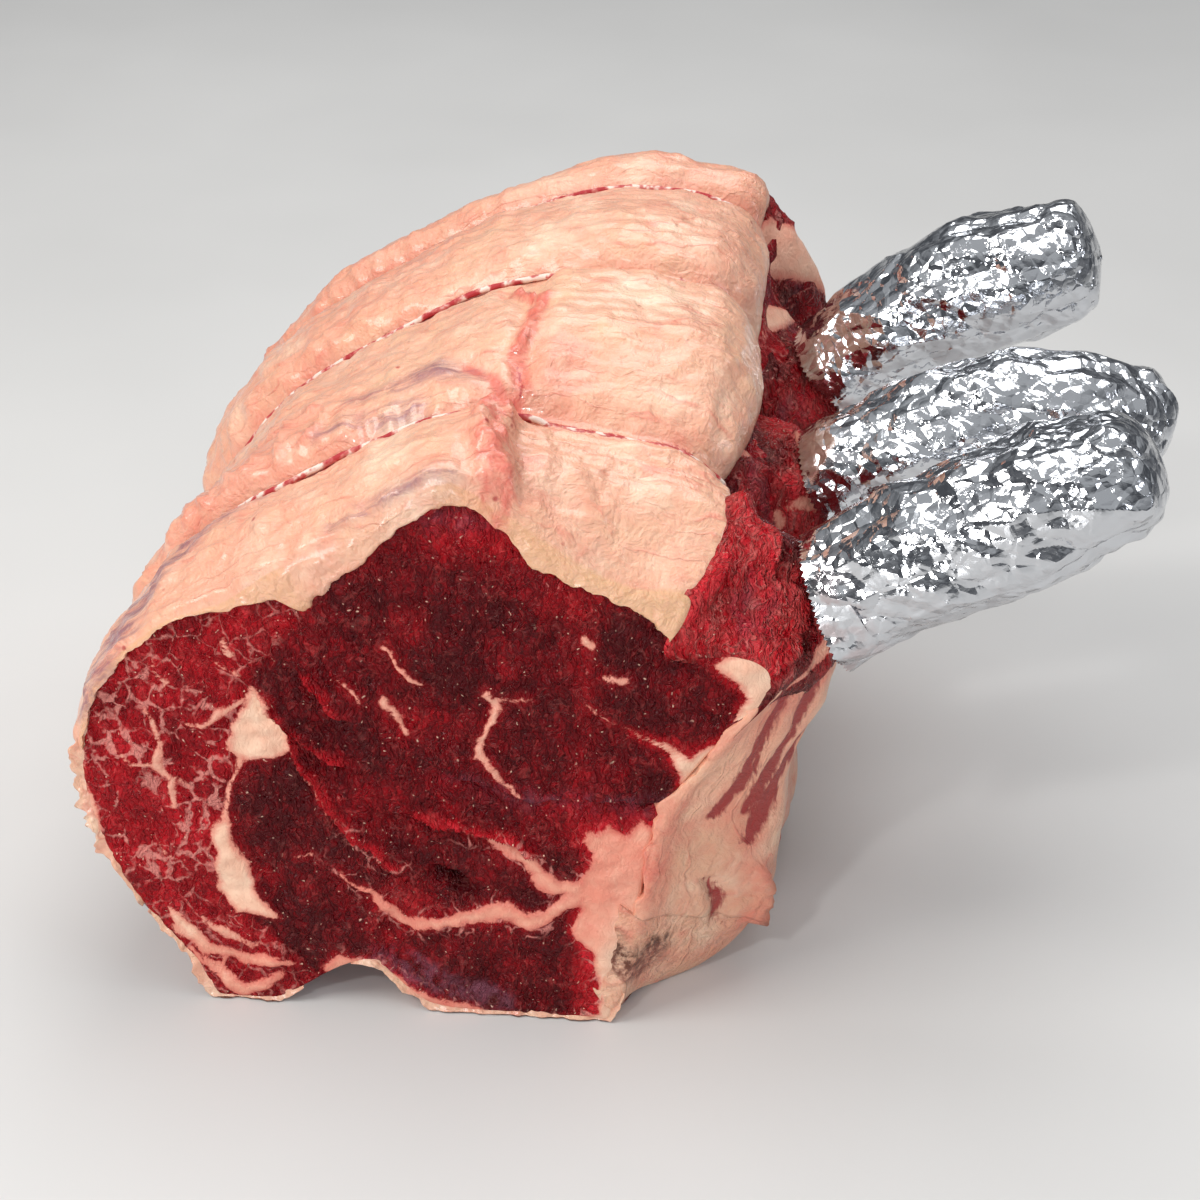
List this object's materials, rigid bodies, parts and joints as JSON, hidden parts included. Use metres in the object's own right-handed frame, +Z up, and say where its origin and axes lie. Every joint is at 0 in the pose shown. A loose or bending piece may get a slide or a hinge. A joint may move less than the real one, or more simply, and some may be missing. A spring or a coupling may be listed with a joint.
{
  "type": "raw beef rib roast",
  "caption": "Raw beef rib roast with a fat cap and a marbled cut face, tied with twine, its rib ends wrapped in foil.",
  "frame": {"origin": "centre of the underside of the bounding box", "axes": "+X towards the foil-wrapped rib ends, -Y towards the cut front face, +Z up"},
  "size_m": [0.2812, 0.187, 0.1755],
  "materials": {
    "raw_lean": "moist dark red lean with fine pale marbling",
    "seam_fat": "moist pinkish white fat",
    "cap_fat": "cream fat, soft sheen, faintly wrinkled",
    "bone_side": "cream and salmon fat and membrane with dark red bands",
    "cut_bone": "sawn bone with brown marrow",
    "foil": "bright crumpled foil",
    "twine": "white cotton twine stained pink"
  },
  "bodies": {
    "root": {"eye_muscle": "raw_lean", "lip_muscle": "raw_lean", "seam_fat": "seam_fat", "fat_cap": "cap_fat", "bone_side": "bone_side", "chine_bone": "cut_bone", "foil_wrap_1": "foil", "foil_wrap_2": "foil", "foil_wrap_3": "foil", "tie_1": "twine", "tie_2": "twine", "tie_3": "twine"}
  },
  "joints": []
}
